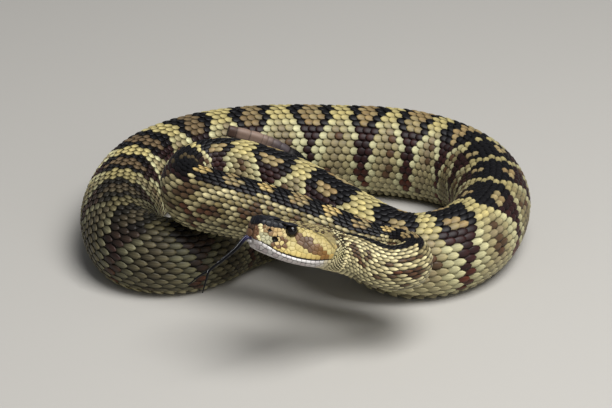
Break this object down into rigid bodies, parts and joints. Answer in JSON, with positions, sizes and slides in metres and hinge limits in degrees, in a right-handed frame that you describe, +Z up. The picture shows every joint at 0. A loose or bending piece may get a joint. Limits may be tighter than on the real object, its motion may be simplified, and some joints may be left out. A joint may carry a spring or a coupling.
{
  "type": "black-tailed rattlesnake model",
  "caption": "Still, life-size black-tailed rattlesnake resting in a loose coil, head held up over the coil, forked tongue out and rattle raised.",
  "frame": {"origin": "on the floor under the middle of the whole animal's box", "axes": "+Z up; the snake looks along -X and a little towards -Y, the side it is seen from; the back of the coil is at +Y"},
  "size_m": [0.1884, 0.1954, 0.0655],
  "materials": {
    "scales": "keeled overlapping scales, dull to satin, olive tan with black and brown blotches and yellow crossbands",
    "head_skin": "small smooth head scales, black snout top and brow plates, golden yellow lips",
    "jaw_skin": "smooth pale chin and lip scales with fine grey specks",
    "eye": "wet gloss, very dark brown with an upright slit pupil",
    "tongue": "moist black with a purple-blue base",
    "tail_scales": "keeled scales, black",
    "rattle": "dry horn, pinkish tan, darker at its base"
  },
  "bodies": {
    "root": {"head": "head_skin", "lower_jaw": "jaw_skin", "eye_left": "eye", "eye_right": "eye", "tongue": "tongue", "neck": "scales", "neck_bend": "scales", "forebody_front": "scales", "forebody_bend": "scales", "forebody_rear": "scales", "midbody_front": "scales", "midbody_right": "scales", "midbody_corner": "scales", "midbody_back": "scales", "hindbody_corner": "scales", "hindbody_bend": "scales", "hindbody_under": "scales", "tail": "tail_scales", "rattle": "rattle"}
  },
  "joints": []
}
